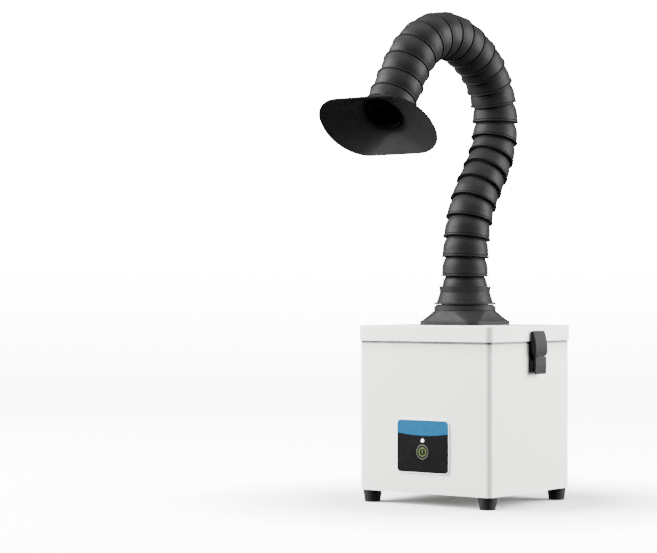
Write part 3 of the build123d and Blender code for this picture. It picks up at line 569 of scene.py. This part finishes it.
def build_collar():
    """Turning collar with a thin ring, cone, plain band and the first ball."""
    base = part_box("lid_cap")[1].z
    ball = arm_joints()[0]["pos_m"][2]
    inner = DOME_RADIUS - DOME_WALL
    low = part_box("swivel_collar")[0].z
    outline = [
        (COLLAR_BORE, low, 0),
        (COLLAR_SPIGOT, low, 0.3 * MM),
        (COLLAR_SPIGOT, base + COLLAR_RING, 0),
        (COLLAR_RADIUS, base + COLLAR_RING, 0.5 * MM),
        (COLLAR_RADIUS, base + COLLAR_RING_TOP, 0.5 * MM),
        (36.2 * MM, base + COLLAR_RING_TOP + 0.05 * MM, 0.5 * MM),
        (32.3 * MM, base + COLLAR_CONE_TOP, 0.6 * MM),
        (33.2 * MM, base + COLLAR_BAND_TOP, 0.5 * MM),
        (29.6 * MM, base + COLLAR_BAND_TOP + 0.05 * MM, 0.3 * MM),
    ]
    outline += dome_outline(ball, base + COLLAR_BAND_TOP + 0.2 * MM)
    outline += [(inner, base + COLLAR_RING_TOP, 0), (COLLAR_BORE, base + COLLAR_RING, 0)]
    verts, faces = loft_loop(revolved(rounded_outline(outline)))
    stand_in(make_piece("collar_shell", verts, faces, MATERIALS["arm_plastic"]), "swivel_collar")


def arm_joints():
    """The arm's ball centres from the base up; the last one carries the hood."""
    joints = frame["record"]["behaviour"]["joints"]
    bells = [j for j in joints if j["name"].startswith("arm_joint_")]
    bells.sort(key=lambda j: j["name"])
    return bells + [j for j in joints if j["name"] == "hood_tilt"]


def on_ball(ball, ahead):
    """Matrix that stands a bell on its ball, pointing at the next point on the arm."""
    along = (ahead - ball).normalized()
    turn = Vector((0, 0, 1)).rotation_difference(along).to_matrix().to_4x4()
    return Matrix.Translation(ball) @ turn @ Matrix.Translation((0, 0, LIP_DROP))


def build_arm():
    """One bell on each ball, and the hood on the last."""
    joints = arm_joints()
    balls = [Vector(j["pos_m"]) for j in joints]
    verts, faces = loft_loop(revolved(bell_outline()))
    for joint, ball, ahead in zip(joints[:-1], balls, balls[1:]):
        node = joint["child"]
        placed = moved(verts, on_ball(ball, ahead))
        stand_in(make_piece(f"{node}_bell", placed, faces, MATERIALS["arm_plastic"]), node)
    hood_place = on_ball(balls[-1], opening_middle("hood_mouth"))
    build_hood(hood_place)


# ---------------------------------------------------------------- hood
HOOD_NECK = 4.6 * MM
HOOD_LENGTH = 26.0 * MM
NECK_RADIUS = 28.3 * MM
ROD_RADIUS = 26.1 * MM
WALL_INSET = 1.0 * MM
WALL_LIFT = 2.0 * MM
HOOD_STEPS = 22
HOOD_TURN_STEPS = 160
RIM_TAPER = 0.75               # how far the wall thins towards the mouth
# neck, middle and mouth of the flare: half width, half height and corner
FLARE = [(28.3 * MM, 28.3 * MM, 28.1 * MM),
         (54.0 * MM, 38.0 * MM, 36.5 * MM),
         (82.0 * MM, 48.5 * MM, 46.0 * MM)]
# rounding of the rim: how far in from the outside and down from the mouth
RIM = [(0.0, 0.35 * MM), (0.1 * MM, 0.1 * MM), (0.35 * MM, 0.0), (0.65 * MM, 0.0),
       (0.9 * MM, 0.1 * MM)]


def flare_size(share, column):
    """Smooth curve through the neck, middle and mouth of the flare."""
    neck, middle, mouth = (row[column] for row in FLARE)
    return (neck * (1 - share) * (1 - 2 * share) + 4 * middle * share * (1 - share)
            + mouth * share * (2 * share - 1))


def flare_ring(share, inset, lift):
    """Ring of the flare at a share of its length, drawn in by inset and lifted."""
    half_x, half_y, corner = (flare_size(share, column) - inset for column in range(3))
    z = HOOD_NECK + share * (HOOD_LENGTH - HOOD_NECK) + lift * (1 - RIM_TAPER * share)
    return ring(half_x, half_y, corner, z, HOOD_TURN_STEPS)


def build_hood(place):
    """Seat, short neck, flare, rounded rim and the inner wall, as one closed skin."""
    collar = rounded_outline(seat_outline() + [(NECK_RADIUS, 3.4 * MM, 0.2 * MM)])
    rings = revolved(collar, HOOD_TURN_STEPS)
    rings += [flare_ring(i / HOOD_STEPS, 0.0, 0.0) for i in range(HOOD_STEPS)]
    half_x, half_y, corner = FLARE[-1]
    for inset, drop in RIM:
        rings.append(ring(half_x - inset, half_y - inset, corner - inset,
                          HOOD_LENGTH - drop, HOOD_TURN_STEPS))
    for i in range(HOOD_STEPS, -1, -1):
        rings.append(flare_ring(i / HOOD_STEPS, WALL_INSET, WALL_LIFT))
    rings += revolved([(ROD_RADIUS, HOOD_NECK + 1.6 * MM), (ROD_RADIUS, SEAT_TOP)],
                      HOOD_TURN_STEPS)
    verts, faces = loft_loop(rings)
    piece = make_piece("hood_shell", moved(verts, place), faces, MATERIALS["hood_plastic"])
    stand_in(piece, "suction_hood")


# ---------------------------------------------------------------- stage
CAMERA_AZIMUTH = math.radians(36.28)
SENSOR_WIDTH = 36.0            # millimetres, as Blender's lens takes them
LENS = 110.96
LENS_SHIFT = -0.1088
CAMERA_PITCH = math.radians(0.577)
NEAR_CORNER_DEPTH = 2.465
NEAR_CORNER_RIGHT = 0.1104     # the near lid corner is this far right of the camera's axis
EYE_ABOVE_LID = 0.036
FLOOR_HALF = 10.0              # half of the floor's width
FLOOR_FRONT = 60.0             # the floor reaches this far towards the camera and past it
FLOOR_BACK = 4.0               # the backdrop stands this far behind the object
BACKDROP_HEIGHT = 5.0
BACKDROP_CURVE = 1.5
AIM_HEIGHT = 0.25              # the lights point at this height


def build_camera():
    """Camera at the front right, level with the lid, tilted up a little."""
    low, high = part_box("lid_cap")
    near = Vector((high.x, low.y, high.z))
    right = Vector((math.cos(CAMERA_AZIMUTH), math.sin(CAMERA_AZIMUTH), 0))
    ahead = Vector((-math.sin(CAMERA_AZIMUTH), math.cos(CAMERA_AZIMUTH), 0))
    eye = near - ahead * NEAR_CORNER_DEPTH - right * NEAR_CORNER_RIGHT
    eye.z = high.z + EYE_ABOVE_LID
    data = bpy.data.cameras.new("camera")
    data.sensor_width = SENSOR_WIDTH
    data.lens = LENS
    data.shift_x = LENS_SHIFT
    data.clip_end = 50.0
    camera = bpy.data.objects.new("camera", data)
    bpy.context.scene.collection.objects.link(camera)
    camera.location = eye
    camera.rotation_euler = (math.pi / 2 + CAMERA_PITCH, 0, CAMERA_AZIMUTH)
    bpy.context.scene.camera = camera


def softbox(name, azimuth, distance, height, size, power):
    """Soft rectangular light at an azimuth in degrees, aimed at the object."""
    data = bpy.data.lights.new(name, "AREA")
    data.shape = "RECTANGLE"
    data.size, data.size_y = size
    data.energy = power
    light = bpy.data.objects.new(name, data)
    bpy.context.scene.collection.objects.link(light)
    angle = math.radians(azimuth)
    light.location = (distance * math.sin(angle), -distance * math.cos(angle), height)
    aim = Vector((0, 0, AIM_HEIGHT)) - light.location
    light.rotation_euler = aim.to_track_quat("-Z", "Y").to_euler()
    light.visible_camera = False


def build_stage():
    """Pale floor that curves up into a backdrop and glows, with no glow near the object; soft
    lights and a pale sky.
    """
    r = Recipe("glowing_floor_paint", roughness=0.9)
    # Painted light: the floor glows, not at all near the object so the shade round it stays
    # dark, more further out and up the backdrop.
    away = r.apart("X", 0.0, "Y", 0.0)
    glow = r.span(away, 0.17, 0.40, 0.0, 8.0)
    floor_glow = r.math("ADD", r.span(r.axis("Z"), 0.0, 0.6, 0.0, 12.0), glow)
    r.shader.inputs["Emission Color"].default_value = (1.0, 1.0, 1.0, 1.0)
    r.join(floor_glow, r.shader.inputs["Emission Strength"])
    r.colour(r.blend(r.span(r.noise(3, 3.0), 0.3, 0.7), (0.90, 0.90, 0.90), (0.92, 0.92, 0.92)))
    bend = FLOOR_BACK - BACKDROP_CURVE
    rows = [(-FLOOR_FRONT, 0.0), (bend, 0.0)]
    for k in range(1, 13):
        angle = math.radians(90 * k / 12)
        rows.append((bend + BACKDROP_CURVE * math.sin(angle),
                     BACKDROP_CURVE * (1 - math.cos(angle))))
    rows.append((FLOOR_BACK, BACKDROP_HEIGHT))
    turn = Matrix.Rotation(CAMERA_AZIMUTH, 4, "Z")
    verts = [turn @ Vector((x, y, z)) for y, z in rows for x in (-FLOOR_HALF, FLOOR_HALF)]
    faces = [(2 * i, 2 * i + 1, 2 * i + 3, 2 * i + 2) for i in range(len(rows) - 1)]
    floor = make_piece("floor", verts, faces, r.material, 180)
    floor.visible_diffuse = False
    floor.visible_glossy = False

    world = bpy.data.worlds.new("sky")
    world.use_nodes = True
    sky = world.node_tree.nodes["Background"]
    sky.inputs["Color"].default_value = (1.0, 1.0, 1.0, 1.0)
    sky.inputs["Strength"].default_value = 0.2
    bpy.context.scene.world = world
    softbox("left_box", -50, 1.9, 1.25, (2.0, 1.8), 335)
    softbox("right_box", 124, 1.9, 0.8, (1.4, 1.7), 200)
    softbox("top_box", 20, 0.35, 2.4, (2.2, 2.2), 60)


# ---------------------------------------------------------------- build everything
dress_cad_nodes()
build_collar()
build_arm()
build_camera()
build_stage()
